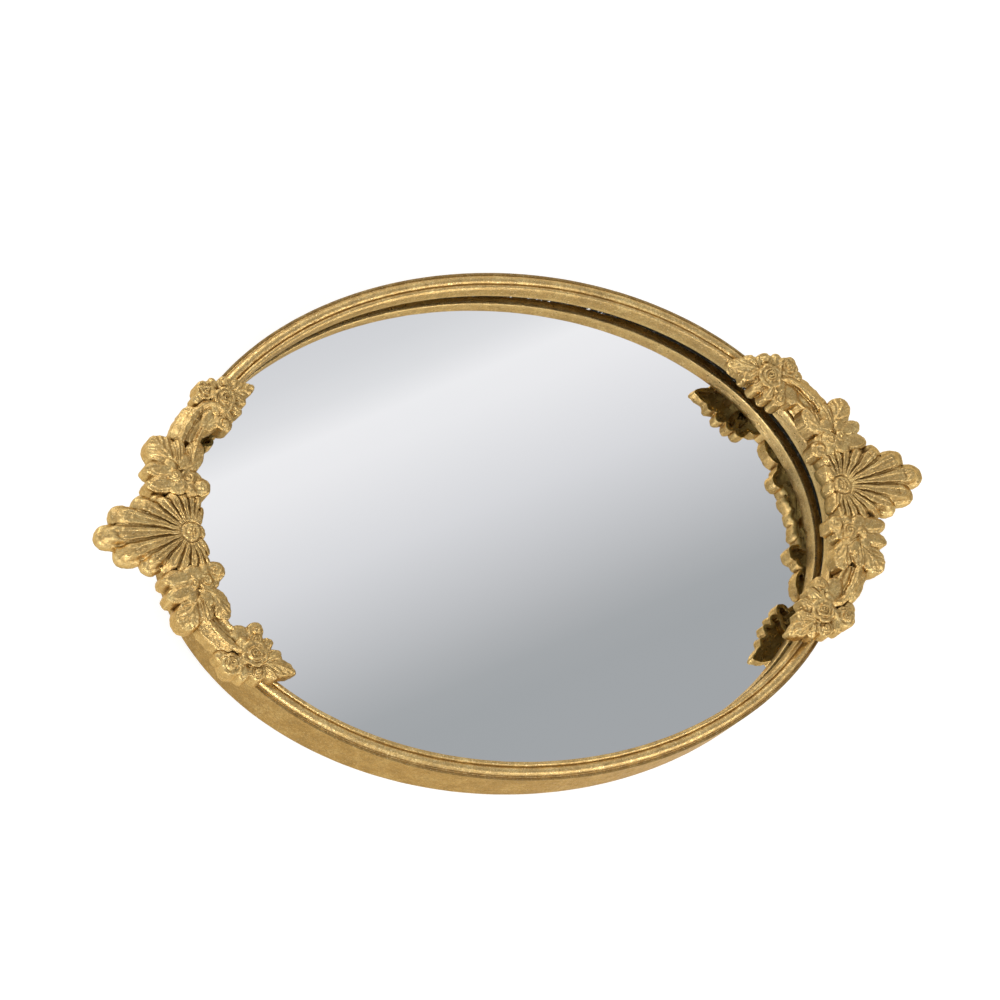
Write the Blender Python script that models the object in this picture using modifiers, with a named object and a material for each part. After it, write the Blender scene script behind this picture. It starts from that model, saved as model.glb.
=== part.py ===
"""Oval mirrored vanity tray with two cast floral handles, modelled as its separate pieces.

Metres, +Z up. The origin is on the table under the middle of the oval, and +X runs along its long
axis, so a handle stands over the rim at each end of X.
"""

from math import atan2, cos, pi, radians, sin

import bmesh
import bpy
from mathutils import Matrix, Vector

MM = 0.001

# Driving dimensions
SEMI_LONG = 180 * MM  # half the length of the oval, to the outside of its band
SEMI_SHORT = 130 * MM
FOOT_STAND = 1 * MM  # how far the pads lift the band off the table
BAND_HEIGHT = 25.2 * MM
BAND_THICKNESS = 1.6 * MM
MOULDING_WIDTH = 7.2 * MM
MIRROR_THICKNESS = 3 * MM
BOARD_THICKNESS = 5 * MM
FELT_THICKNESS = 1.2 * MM
JOINT_GAP = 0.3 * MM  # between pieces that touch
RIM_SEGMENTS = 72
CLIP_COUNT = 8
BAR_TURN = 0.1  # keeps the edges of bores off the rim's own edges

# Heights above the table
BAND_BASE = FOOT_STAND
BAND_TOP = BAND_BASE + BAND_HEIGHT
BEAD_TOP = BAND_TOP + 2 * MM  # crest of the moulding's round bead
LIP_BOTTOM = 17.5 * MM  # lower edge of the moulding's inner lip
MIRROR_TOP = 12.4 * MM
BOARD_TOP = MIRROR_TOP - MIRROR_THICKNESS - JOINT_GAP
FELT_TOP = BOARD_TOP - BOARD_THICKNESS - JOINT_GAP
CASTING_BASE = 29.6 * MM  # lower edge of the handle castings, clear of the rim

# Insets from the outside of the band
MOULDING_OUTER = BAND_THICKNESS + JOINT_GAP
MOULDING_INNER = MOULDING_OUTER + MOULDING_WIDTH
RIM_MIDDLE = 5.5 * MM  # the line that the handles follow
PANEL_INSET = BAND_THICKNESS + 0.6 * MM

# Handles
CAST_WALL = 2.4 * MM
HUB_TOP = 45 * MM
SHELL_LENGTH = 46 * MM  # hub to the tip of the shell
SHELL_LEAN = 0.075  # how far both fans lean towards +Y, per length outwards
SHELL_HALF_WIDTH = 21.5 * MM
SHELL_SKIRT = 9 * MM
SHELL_RIBS = 16
POST_RADIUS = 2.3 * MM
RIVET_RADIUS = 1.2 * MM
RIVET_HEAD_RADIUS = 1.6 * MM
SHELL_CEILING = HUB_TOP - 5.2 * MM  # underside of the shell over the rim
ROSE_CEILING = 38.4 * MM
POSTS = (  # place, degrees round the oval from the handle's middle, top
    ("back", 32.5, ROSE_CEILING - JOINT_GAP),
    ("middle", 0.0, SHELL_CEILING - JOINT_GAP),
    ("front", -32.5, ROSE_CEILING - JOINT_GAP),
)


def material(name, colour, roughness, metallic):
    made = bpy.data.materials.new(name)
    made.use_nodes = True
    shader = made.node_tree.nodes["Principled BSDF"]
    shader.inputs["Base Color"].default_value = (*colour, 1)
    shader.inputs["Roughness"].default_value = roughness
    shader.inputs["Metallic"].default_value = metallic
    made.diffuse_color = (*colour, 1)
    return made


def finish(obj, name, look, collection, smooth_angle=35):
    """Names an object, gives it its material and shading, and puts it in its collection."""
    obj.name = name
    for used in list(obj.users_collection):
        used.objects.unlink(obj)
    collection.objects.link(obj)
    obj.data.materials.clear()
    obj.data.materials.append(look)
    if obj.type == "MESH":
        obj.data.shade_smooth()
        obj.data.set_sharp_from_angle(angle=radians(smooth_angle))
    return obj


# ---- the oval ----


def rim_point(degrees, outward=0.0, height=0.0, side=1):
    """A point beside the line that the handles follow. side -1 turns it half round the tray."""
    angle = radians(degrees)
    long, short = SEMI_LONG - RIM_MIDDLE, SEMI_SHORT - RIM_MIDDLE
    across = Vector((cos(angle) / long, sin(angle) / short, 0)).normalized()
    spot = Vector((long * cos(angle), short * sin(angle), 0)) + across * outward
    return Vector((side * spot.x, side * spot.y, height))


def oval_spline(curve, inset):
    """Adds the band's outside line, moved inwards by inset, as a closed POLY spline."""
    spline = curve.splines.new("POLY")
    spline.points.add(RIM_SEGMENTS - 1)
    for i, point in enumerate(spline.points):
        angle = 2 * pi * i / RIM_SEGMENTS
        across = Vector((cos(angle) / SEMI_LONG, sin(angle) / SEMI_SHORT)).normalized()
        x = SEMI_LONG * cos(angle) - across.x * inset
        y = SEMI_SHORT * sin(angle) - across.y * inset
        point.co = (x, y, 0, 1)
    spline.use_cyclic_u = True


def swept_ring(name, section, look, collection):
    """Sweeps a closed section, given as (inset, height) points, round the oval."""
    outline = bpy.data.curves.new(name + "_section", "CURVE")
    spline = outline.splines.new("POLY")
    spline.points.add(len(section) - 1)
    for point, (inset, height) in zip(spline.points, section):
        point.co = (inset, height, 0, 1)
    spline.use_cyclic_u = True
    guide = bpy.data.objects.new(name + "_section", outline)
    guides.objects.link(guide)
    guide.hide_render = True
    path = bpy.data.curves.new(name, "CURVE")
    path.dimensions = "2D"
    path.fill_mode = "NONE"
    path.bevel_mode = "OBJECT"
    path.bevel_object = guide
    oval_spline(path, 0)
    return as_mesh(bpy.data.objects.new(name, path), name, look, collection)


def as_mesh(source, name, look, collection):
    """Turns a curve object into a closed mesh object, which takes its place."""
    collection.objects.link(source)
    bpy.context.view_layer.update()
    graph = bpy.context.evaluated_depsgraph_get()
    mesh = bpy.data.meshes.new_from_object(source.evaluated_get(graph))
    made = bpy.data.objects.new(name, mesh)
    made.matrix_world = source.matrix_world
    bpy.data.objects.remove(source)
    collection.objects.link(made)
    shape = bmesh.new()
    shape.from_mesh(mesh)
    bmesh.ops.remove_doubles(shape, verts=shape.verts, dist=0.00001)
    bmesh.ops.recalc_face_normals(shape, faces=shape.faces)
    shape.to_mesh(mesh)
    shape.free()
    return finish(made, name, look, collection)


def oval_panel(name, inset, top, thickness, look, collection):
    """A flat oval plate whose upper face is at height top."""
    outline = bpy.data.curves.new(name, "CURVE")
    outline.dimensions = "2D"
    outline.fill_mode = "BOTH"
    outline.extrude = thickness / 2
    oval_spline(outline, inset)
    panel = bpy.data.objects.new(name, outline)
    panel.location.z = top - thickness / 2
    return as_mesh(panel, name, look, collection)


def round_bar(name, radius, base, top, spot, look, collection, sides=20):
    bpy.ops.mesh.primitive_cylinder_add(
        vertices=sides,
        radius=radius,
        depth=top - base,
        location=(spot.x, spot.y, (base + top) / 2),
        rotation=(0, 0, BAR_TURN),
    )
    return finish(bpy.context.object, name, look, collection)


def combine(obj, other, operation="DIFFERENCE"):
    """Cuts the other shape out of the object, or with UNION adds it."""
    step = obj.modifiers.new("combine", "BOOLEAN")
    step.operation = operation
    step.object = other
    other.hide_render = True
    other.display_type = "WIRE"


# ---- the rim and what it holds ----


def band_section():
    """The flat strip round the outside, with its upper edge rounded over."""
    round_radius = BAND_THICKNESS / 2
    top = [
        (round_radius + round_radius * cos(a), BAND_TOP - round_radius + round_radius * sin(a))
        for a in (pi * i / 4 for i in range(5))
    ]
    return [(0, BAND_BASE), (BAND_THICKNESS, BAND_BASE), *top]


def moulding_section():
    """A round bead, a groove and a small inner bead above two legs, open below."""
    bead, small = 2.3 * MM, 1.25 * MM
    bead_middle = MOULDING_OUTER + bead
    small_middle = MOULDING_INNER - small
    small_height = BEAD_TOP - 0.4 * MM - small
    outer_leg = MOULDING_OUTER + 1.6 * MM
    lip_leg = MOULDING_INNER - 1.6 * MM
    ceiling = BAND_TOP - 3.2 * MM
    leg_bottom = MIRROR_TOP + JOINT_GAP
    points = [(outer_leg, ceiling), (outer_leg, leg_bottom), (MOULDING_OUTER, leg_bottom)]
    for degrees in range(180, 20, -26):
        angle = radians(degrees)
        points.append((bead_middle + bead * cos(angle), BEAD_TOP - bead + bead * sin(angle)))
    for degrees in range(140, -1, -28):
        angle = radians(degrees)
        points.append((small_middle + small * cos(angle), small_height + small * sin(angle)))
    return points + [(MOULDING_INNER, LIP_BOTTOM), (lip_leg, LIP_BOTTOM), (lip_leg, ceiling)]


def sealant_section():
    """The fillet of adhesive in the corner between the mirror and the moulding's outer leg."""
    corner = MOULDING_OUTER + 1.6 * MM + JOINT_GAP
    foot = MIRROR_TOP + JOINT_GAP
    reach = 1.6 * MM
    waist = reach * 0.4
    return [(corner, foot), (corner, foot + reach), (corner + waist, foot + waist), (corner + reach, foot)]


def build_rim(collection, gilt, glass, sealant, board, felt):
    swept_ring("rim_band", band_section(), gilt, collection)
    moulding = swept_ring("rim_moulding", moulding_section(), gilt, collection)
    oval_panel("mirror_glass", PANEL_INSET, MIRROR_TOP, MIRROR_THICKNESS, glass, collection)
    swept_ring("mirror_sealant", sealant_section(), sealant, collection)
    oval_panel("backing_board", PANEL_INSET, BOARD_TOP, BOARD_THICKNESS, board, collection)
    oval_panel("base_felt", PANEL_INSET + 4 * MM, FELT_TOP, FELT_THICKNESS, felt, collection)
    return moulding


def build_clips(collection, steel):
    """Flat glazing points round the edge, which keep the board up against the mirror."""
    for i in range(CLIP_COUNT):
        angle = 2 * pi * (i + 0.5) / CLIP_COUNT
        across = Vector((cos(angle) / SEMI_LONG, sin(angle) / SEMI_SHORT, 0)).normalized()
        edge = Vector((SEMI_LONG * cos(angle), SEMI_SHORT * sin(angle), 0))
        depth, width, thickness = 3.4 * MM, 7 * MM, 0.8 * MM
        spot = edge - across * (BAND_THICKNESS + JOINT_GAP + depth / 2)
        spot.z = FELT_TOP - thickness / 2
        bpy.ops.mesh.primitive_cube_add(size=1)
        clip = bpy.context.object
        turn = Matrix.Rotation(atan2(across.y, across.x), 4, "Z")
        clip.data.transform(Matrix.Diagonal((depth, width, thickness, 1)))
        clip.matrix_world = Matrix.Translation(spot) @ turn
        finish(clip, f"retaining_clip_{i + 1}", steel, collection)


def build_feet(collection, rubber):
    """Four round pads stuck to the felt."""
    radius, long, short = 8 * MM, 105 * MM, 74 * MM
    for number, (x, y) in enumerate(((1, 1), (-1, 1), (-1, -1), (1, -1)), start=1):
        spot = Vector((x * long, y * short, 0))
        top = FELT_TOP - FELT_THICKNESS - JOINT_GAP
        pad = round_bar(f"foot_pad_{number}", radius, 0, top, spot, rubber, collection, 24)
        edge = pad.modifiers.new("edge", "BEVEL")
        edge.width = 0.5 * MM
        edge.segments = 1


# ---- handle castings ----


def loft(name, rings, look, collection):
    """Skins closed rings of equally many points, each ring joined to the next, and caps both ends."""
    shape = bmesh.new()
    rows = [[shape.verts.new(point) for point in ring] for ring in rings]
    count = len(rings[0])
    for low, high in zip(rows, rows[1:]):
        for i in range(count):
            j = (i + 1) % count
            shape.faces.new((low[i], low[j], high[j], high[i]))
    shape.faces.new(rows[0])
    shape.faces.new(rows[-1])
    bmesh.ops.recalc_face_normals(shape, faces=shape.faces)
    mesh = bpy.data.meshes.new(name)
    shape.to_mesh(mesh)
    shape.free()
    return finish(bpy.data.objects.new(name, mesh), name, look, collection, 30)


def bridge_section(degrees, inner, outer, crest, edge, side):
    """A crowned cross-section over the rim, hollow from below like a real thin-walled casting."""
    middle, half = (inner + outer) / 2, (outer - inner) / 2
    upper, lower = [], []
    for i in range(7):
        turn = pi * i / 6
        across = middle + half * cos(turn)
        height = edge + (crest - edge) * sin(turn)
        upper.append((across, height))
        inside = max(0.0, sin(turn))
        hollow_height = max(CASTING_BASE, edge + (crest - CAST_WALL - edge) * inside)
        lower.append((middle + (half - CAST_WALL) * cos(turn), hollow_height))
    outline = [(outer, CASTING_BASE), *upper, (inner, CASTING_BASE)]
    inner_wall = (middle - half + CAST_WALL, CASTING_BASE)
    outer_wall = (middle + half - CAST_WALL, CASTING_BASE)
    hollow = [inner_wall, *reversed(lower[1:-1]), outer_wall]
    return [rim_point(degrees, across, height, side) for across, height in outline + hollow]


def bridge(name, start, end, shape, side, look, collection, stations=6):
    """One casting along the rim from angle start to angle end. shape gives its section at each share."""
    rings = []
    for i in range(stations + 1):
        share = i / stations
        inner, outer, crest, edge = shape(share)
        degrees = start + (end - start) * share
        rings.append(bridge_section(degrees, inner, outer, crest, edge, side))
    return loft(name, rings, look, collection)


def flower_shape(share):
    """Petals that stand out on both sides of the rim, next to the shell."""
    petal = abs(sin(2 * pi * share))
    return -(8 + 2 * petal) * MM, (11 + 3 * petal) * MM, (43 - 0.5 * petal) * MM, 37 * MM


def leaf_shape(share):
    petal = sin(pi * share)
    return -(6 + 3 * petal) * MM, (9 + 5 * petal) * MM, (41.5 + petal) * MM, 36 * MM


def scroll_shape(share):
    return -6.5 * MM, 4.5 * MM, (40.5 - share) * MM, 36 * MM


def rose_shape(share):
    """The cluster swells behind the scroll and draws in to its leaf tip."""
    swell = sin(pi * min(1.0, 0.22 + 0.6 * share))
    return -(6.5 + 5 * swell) * MM, (5 + 6 * swell) * MM, (37 + 4.5 * swell) * MM, 34 * MM


SPRAY = (
    ("flower", 10.7, 16.3, flower_shape),
    ("leaf_spray", 16.5, 22.3, leaf_shape),
    ("scroll", 22.5, 28.1, scroll_shape),
    ("rose_cluster", 28.3, 38.5, rose_shape),
)


def shell_reach(turn):
    """Hub to edge of the scalloped shell, at an angle from straight outwards."""
    share = abs(atan2(sin(turn), cos(turn))) / pi
    body = SHELL_LENGTH * (0.22 + 0.78 * (1 - share) ** 2.2)
    lobes = 1 + 0.05 * (cos(SHELL_RIBS * turn) - 1)
    half_width = SHELL_HALF_WIDTH / max(abs(sin(turn)), 0.1)
    return min(body * lobes, half_width)


def shell_floor(turn):
    """Lower edge of the shell: down by the rim on its inner side, raised under the fan."""
    raised = min(1.0, max(0.0, cos(turn) / 0.5))
    return CASTING_BASE + (HUB_TOP - SHELL_SKIRT - CASTING_BASE) * raised


def shell_ring(hub, side, scale, trim, height, rib=0.0):
    """One closed ring of the shell's skin. height is a number, or a function of the angle."""
    points = []
    for i in range(3 * SHELL_RIBS):
        turn = 2 * pi * i / (3 * SHELL_RIBS)
        reach = max(shell_reach(turn) * scale - trim, 0.5 * MM)
        level = height(turn) if callable(height) else height
        lift = rib * cos(SHELL_RIBS * turn)
        outward = reach * cos(turn)
        leaning = SHELL_LEAN * max(0.0, outward)
        points.append((side * (hub.x + outward), side * reach * sin(turn) + leaning, level + lift))
    return points


def build_shell(name, side, look, collection):
    """The fan of ribs round the hub, thick at its edge and hollow from below."""
    hub = rim_point(0)
    rings = [
        (0.05, 0, HUB_TOP),
        (0.16, 0, HUB_TOP - 0.6 * MM),
        (0.3, 0, HUB_TOP - 1.8 * MM, 0.4 * MM),
        (0.75, 0, HUB_TOP - 0.9 * MM, 0.7 * MM),
        (0.96, 0, HUB_TOP - 1.2 * MM, 0.5 * MM),
        (1.0, 0, HUB_TOP - 3 * MM),
        (1.0, 0, shell_floor),
        (1.0, CAST_WALL, shell_floor),
        (0.96, CAST_WALL, HUB_TOP - 4.4 * MM),
        (0.3, 0, SHELL_CEILING),
        (0.05, 0, SHELL_CEILING),
    ]
    return loft(name, [shell_ring(hub, side, *ring) for ring in rings], look, collection)


def build_post(hand, place, degrees, top, side, moulding, gilt, brass, collection):
    """A standoff post under a casting, held by a rivet that comes up through the moulding."""
    spot = rim_point(degrees, 0, 0, side)
    head_top = BAND_TOP - 3.2 * MM - JOINT_GAP
    bore_top = top - 2 * MM

    def bar(piece, radius, low, high, look, group, sides):
        return round_bar(f"{hand}_{piece}_{place}", radius, low, high, spot, look, group, sides)

    post = bar("post", POST_RADIUS, BEAD_TOP + JOINT_GAP, top, gilt, collection, 20)
    bore = bar("bore", RIVET_RADIUS + JOINT_GAP, head_top - 2 * MM, bore_top, brass, cutters, 16)
    combine(post, bore)
    combine(moulding, bore)
    rivet = bar("rivet", RIVET_RADIUS, head_top - 0.4 * MM, bore_top - 0.4 * MM, brass, collection, 16)
    head = bar("rivet_head", RIVET_HEAD_RADIUS, head_top - 1.2 * MM, head_top, brass, cutters, 16)
    combine(rivet, head, "UNION")


def build_handle(hand, side, moulding, gilt, brass, collection):
    build_shell(f"{hand}_shell", side, gilt, collection)
    for place, direction in (("back", side), ("front", -side)):
        for part, start, end, shape in SPRAY:
            name = f"{hand}_{part}_{place}"
            bridge(name, start * direction, end * direction, shape, side, gilt, collection)
    for place, degrees, top in POSTS:
        build_post(hand, place, degrees * side, top, side, moulding, gilt, brass, collection)


for old in list(bpy.data.objects):
    bpy.data.objects.remove(old)
tray = bpy.data.collections.new("dresser_vanity_tray")
guides = bpy.data.collections.new("guides")
cutters = bpy.data.collections.new("cutters")
for group in (tray, guides, cutters):
    bpy.context.scene.collection.children.link(group)

aged_gilt = material("aged_gilt", (0.60, 0.41, 0.14), 0.38, 0.9)
mirror = material("mirror", (0.86, 0.88, 0.90), 0.02, 1.0)
dark_sealant = material("dark_sealant", (0.05, 0.04, 0.02), 0.5, 0.0)
fibreboard = material("fibreboard", (0.30, 0.20, 0.12), 0.8, 0.0)
black_felt = material("black_felt", (0.03, 0.03, 0.03), 0.95, 0.0)
rubber_pad = material("rubber_pad", (0.06, 0.06, 0.06), 0.7, 0.0)
brass_rivet = material("brass_rivet", (0.70, 0.52, 0.22), 0.35, 1.0)
zinc_clip = material("zinc_clip", (0.55, 0.56, 0.58), 0.4, 1.0)

rim_moulding = build_rim(tray, aged_gilt, mirror, dark_sealant, fibreboard, black_felt)
build_clips(tray, zinc_clip)
build_feet(tray, rubber_pad)
build_handle("right", 1, rim_moulding, aged_gilt, brass_rivet, tray)
build_handle("left", -1, rim_moulding, aged_gilt, brass_rivet, tray)
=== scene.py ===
"""Looks for the oval mirrored vanity tray: its rim, mirror, cast handles, materials, light and camera.

Shapes are worked out in millimetres in the frame's axes. Each kind of casting is modelled once, for the
back half of the right-hand handle. Its copies are mirrored, moved to their own places and made a little
uneven, each one differently.
"""

import math

import bmesh
import bpy
import numpy as np
from mathutils import Matrix, Vector, noise


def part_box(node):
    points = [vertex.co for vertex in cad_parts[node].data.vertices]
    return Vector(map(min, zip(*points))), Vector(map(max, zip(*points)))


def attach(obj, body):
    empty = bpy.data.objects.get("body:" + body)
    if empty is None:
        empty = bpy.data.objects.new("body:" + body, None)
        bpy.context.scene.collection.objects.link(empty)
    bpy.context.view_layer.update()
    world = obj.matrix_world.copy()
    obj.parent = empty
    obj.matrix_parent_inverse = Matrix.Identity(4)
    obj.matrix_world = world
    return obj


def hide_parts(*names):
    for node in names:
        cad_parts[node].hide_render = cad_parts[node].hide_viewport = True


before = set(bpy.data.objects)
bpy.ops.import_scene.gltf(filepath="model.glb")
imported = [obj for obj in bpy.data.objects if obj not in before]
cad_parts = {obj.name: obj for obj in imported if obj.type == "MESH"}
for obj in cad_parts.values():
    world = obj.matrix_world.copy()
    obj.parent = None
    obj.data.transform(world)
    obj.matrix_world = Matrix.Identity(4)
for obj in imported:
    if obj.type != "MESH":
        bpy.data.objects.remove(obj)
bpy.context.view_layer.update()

MM = 0.001

# ---- places and sizes, from the frame (mm) ----

band_low, band_high = (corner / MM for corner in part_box("rim_band"))
moulding_low, moulding_high = (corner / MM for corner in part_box("rim_moulding"))
SEMI_LONG, SEMI_SHORT = band_high.x, band_high.y
BAND_BASE, BAND_TOP = band_low.z, band_high.z
BEAD_TOP = moulding_high.z
MOULDING_OUTER = SEMI_LONG - moulding_high.x
MOULDING_BASE = moulding_low.z
BAND_THICKNESS = MOULDING_OUTER - 0.3
MOULDING_INNER = MOULDING_OUTER + 7.2
LIP_BOTTOM = MOULDING_BASE + 4.8
HUB_X = (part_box("right_post_middle")[0].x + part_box("right_post_middle")[1].x) / 2 / MM
SHELL_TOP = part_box("right_shell")[1].z / MM
CASTING_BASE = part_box("right_scroll_back")[0].z / MM + 0.1
MIRROR_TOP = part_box("mirror_glass")[1].z / MM


# ---- camera (m) ----

CAMERA_SPOT = Vector((-0.8073, -0.5270, 1.7124))
CAMERA_AIM = Vector((0.0049, 0.0197, 0.0))
CAMERA_ROLL = math.radians(48.3)
CAMERA_LENS = 144.0


def build_camera():
    camera = bpy.data.objects.new("camera", bpy.data.cameras.new("camera"))
    bpy.context.scene.collection.objects.link(camera)
    facing = (CAMERA_AIM - CAMERA_SPOT).to_track_quat("-Z", "Y").to_matrix().to_4x4()
    camera.matrix_world = Matrix.Translation(CAMERA_SPOT) @ facing @ Matrix.Rotation(CAMERA_ROLL, 4, "Z")
    camera.data.lens = CAMERA_LENS
    camera.data.sensor_width = 36.0
    camera.data.clip_start = 0.05
    camera.data.clip_end = 50.0
    bpy.context.scene.camera = camera


# ---- materials ----


class Nodes:
    """A material's node tree, with one short call for each kind of node that is used here."""

    def __init__(self, name):
        self.material = bpy.data.materials.new(name)
        self.material.use_nodes = True
        self.tree = self.material.node_tree
        self.shader = self.tree.nodes["Principled BSDF"]
        self.place = self.add("ShaderNodeTexCoord").outputs["Object"]

    def add(self, kind, **inputs):
        node = self.tree.nodes.new(kind)
        for key, value in inputs.items():
            self.feed(node.inputs[key.replace("_", " ")], value)
        return node

    def feed(self, socket, value):
        if isinstance(value, bpy.types.NodeSocket):
            self.tree.links.new(value, socket)
        else:
            socket.default_value = value

    def noise(self, scale, detail=3.0, roughness=0.55, place=None):
        made = self.add("ShaderNodeTexNoise", Scale=scale, Detail=detail, Roughness=roughness)
        self.feed(made.inputs["Vector"], self.place if place is None else place)
        return made.outputs["Fac"]

    def ramp(self, value, *stops):
        """Colour or grey by value. Each stop is (position, grey or colour)."""
        node = self.add("ShaderNodeValToRGB", Fac=value)
        marks = node.color_ramp.elements
        while len(marks) < len(stops):
            marks.new(0.5)
        for mark, (position, colour) in zip(marks, stops):
            mark.position = position
            mark.color = (*colour, 1) if isinstance(colour, tuple) else (colour, colour, colour, 1)
        return node.outputs["Color"]

    def mix(self, share, first, second, blend="MIX"):
        node = self.tree.nodes.new("ShaderNodeMix")
        node.data_type = "RGBA"
        node.blend_type = blend
        self.feed(node.inputs["Factor"], share)
        self.feed(node.inputs["A"], (*first, 1) if isinstance(first, tuple) else first)
        self.feed(node.inputs["B"], (*second, 1) if isinstance(second, tuple) else second)
        return node.outputs["Result"]

    def maths(self, operation, first, second):
        node = self.tree.nodes.new("ShaderNodeMath")
        node.operation = operation
        self.feed(node.inputs[0], first)
        self.feed(node.inputs[1], second)
        return node.outputs["Value"]

    def crevice(self, reach):
        """0 in the open, towards 1 where the surface is hemmed in within reach metres."""
        node = self.tree.nodes.new("ShaderNodeAmbientOcclusion")
        node.samples = 8
        node.inputs["Distance"].default_value = reach
        return self.maths("SUBTRACT", 1.0, node.outputs["AO"])

    def bump(self, height, strength, distance, after=None):
        node = self.add("ShaderNodeBump", Height=height, Strength=strength, Distance=distance)
        if after is not None:
            self.feed(node.inputs["Normal"], after)
        return node.outputs["Normal"]

    def finish(self, colour, roughness, metallic, normal=None, **fixed):
        self.feed(self.shader.inputs["Base Color"], (*colour, 1) if isinstance(colour, tuple) else colour)
        self.feed(self.shader.inputs["Roughness"], roughness)
        self.shader.inputs["Metallic"].default_value = metallic
        for key, value in fixed.items():
            self.shader.inputs[key.replace("_", " ")].default_value = value
        if normal is not None:
            self.feed(self.shader.inputs["Normal"], normal)
        return self.material


GOLD = (0.53, 0.340, 0.118)
GOLD_BRIGHT = (0.68, 0.490, 0.195)
GOLD_FLECK = (0.90, 0.72, 0.38)
GOLD_DULL = (0.40, 0.258, 0.092)
PATINA_AND_SHADE = (0.125, 0.075, 0.021)
GREY_BROWN = (0.23, 0.165, 0.085)
UNDERSIDE_SHADE = (0.15, 0.108, 0.028)
GRAZING_TINT = (0.95, 0.74, 0.44, 1)


def aged_gold(name, crevice_reach, mottle, worn, dirt_and_shade_share, tint, beating, polish, below):
    """Gold leaf over a rough ground, dulled in patches, brown in its crevices and dark underneath.

    Crevices narrower than crevice_reach (m) are browned with patina plus painted shade, as much as
    dirt_and_shade_share gives. mottle is the strength of the stains and worn that of the bright edges. tint
    scales the colours, beating scales the depth of the unevenness, polish lowers the roughness and below is
    how dark the painted shade on the underside is.
    """
    nodes = Nodes(name)
    gold, bright, dull, fleck = (
        tuple(scale * channel for scale, channel in zip(tint, colour))
        for colour in (GOLD, GOLD_BRIGHT, GOLD_DULL, GOLD_FLECK)
    )
    patches = nodes.ramp(nodes.noise(120.0, 5.0, 0.65), (0.34, dull), (0.5, gold), (0.68, bright))
    flakes = nodes.ramp(nodes.noise(850.0, 4.0, 0.75), (0.42, 0.0), (0.64, 0.85))
    coat = nodes.mix(flakes, patches, tuple(0.82 * channel for channel in dull))
    flecks = nodes.ramp(nodes.noise(1250.0, 3.0, 0.7), (0.56, 0.0), (0.68, 0.75))
    coat = nodes.mix(flecks, coat, fleck)
    stains = nodes.ramp(nodes.noise(260.0, 6.0, 0.75), (0.52, 0.0), (0.74, mottle))
    coat = nodes.mix(stains, coat, GREY_BROWN)
    # Patina plus painted shade: occluded crevices, with a noisy edge, are browned towards the patina colour
    cavity = nodes.crevice(crevice_reach)
    uneven = nodes.maths("MULTIPLY", nodes.maths("SUBTRACT", nodes.noise(160.0, 4.0), 0.5), 0.9)
    dirt_and_shade = nodes.ramp(nodes.maths("ADD", cavity, uneven), (0.24, 0.0), (0.80, dirt_and_shade_share))
    coat = nodes.mix(dirt_and_shade, coat, PATINA_AND_SHADE)
    geometry = nodes.add("ShaderNodeNewGeometry")
    edges = nodes.ramp(geometry.outputs["Pointiness"], (0.51, 0.0), (0.58, worn))
    coat = nodes.mix(edges, coat, bright)
    # Painted shade: faces that point downwards are darkened towards the underside colour
    facing_up = nodes.add("ShaderNodeSeparateXYZ", Vector=geometry.outputs["Normal"]).outputs["Z"]
    facing_down = nodes.maths("MULTIPLY", facing_up, -1.0)
    coat = nodes.mix(nodes.ramp(facing_down, (0.35, 0.0), (0.8, below)), coat, UNDERSIDE_SHADE)
    roughness = nodes.ramp(nodes.noise(420.0, 4.0), (0.3, 0.25 - polish), (0.7, 0.46 - polish))
    beaten = nodes.bump(nodes.noise(360.0, 4.0, 0.6), 0.8, 0.0008 * beating)
    grain = nodes.bump(nodes.noise(1000.0, 4.0, 0.7), 0.8, 0.00045 * beating, beaten)
    return nodes.finish(coat, roughness, 0.9, grain, Specular_Tint=GRAZING_TINT)


def mirror_silver(name):
    """Silvered glass with the faintest unevenness in its tint."""
    nodes = Nodes(name)
    tint = nodes.ramp(nodes.noise(9.0, 1.0), (0.3, (0.89, 0.895, 0.90)), (0.7, (0.90, 0.90, 0.905)))
    return nodes.finish(tint, 0.012, 1.0)


def adhesive(name):
    """Black adhesive with white specks painted in as glints off bits of silvering caught in it."""
    nodes = Nodes(name)
    # Painted glints: white specks, bunched into stretches along the bead
    painted_glints = nodes.ramp(nodes.noise(800.0, 2.0), (0.60, 0.0), (0.64, 1.0))
    stretches = nodes.ramp(nodes.noise(28.0, 2.0), (0.48, 0.05), (0.60, 1.0))
    colour = nodes.mix(nodes.maths("MULTIPLY", painted_glints, stretches), (0.010, 0.009, 0.006), (0.80, 0.80, 0.79))
    lumps = nodes.bump(nodes.noise(500.0), 0.4, 0.0004)
    return nodes.finish(colour, 0.7, 0.0, lumps, Specular_IOR_Level=0.05)


def fibreboard(name):
    """Brown pressed board with a rough face."""
    nodes = Nodes(name)
    colour = nodes.ramp(nodes.noise(600.0, 5.0), (0.3, (0.17, 0.10, 0.05)), (0.7, (0.33, 0.22, 0.13)))
    return nodes.finish(colour, 0.85, 0.0, nodes.bump(nodes.noise(1400.0, 4.0), 0.5, 0.0002))


def felt(name):
    """Black felt with a fine nap."""
    nodes = Nodes(name)
    fibres = nodes.noise(1300.0, 6.0, 0.7)
    colour = nodes.ramp(fibres, (0.3, (0.010, 0.010, 0.011)), (0.7, (0.045, 0.044, 0.046)))
    nap = nodes.bump(nodes.noise(2600.0, 6.0, 0.75), 0.8, 0.0004)
    return nodes.finish(colour, 0.95, 0.0, nap, Sheen_Weight=0.4, Sheen_Roughness=0.5)


def rubber(name):
    """Matt black rubber."""
    nodes = Nodes(name)
    colour = nodes.ramp(nodes.noise(300.0), (0.3, (0.022, 0.022, 0.023)), (0.7, (0.040, 0.040, 0.042)))
    return nodes.finish(colour, 0.7, 0.0, nodes.bump(nodes.noise(2200.0, 3.0), 0.3, 0.00015))


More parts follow.
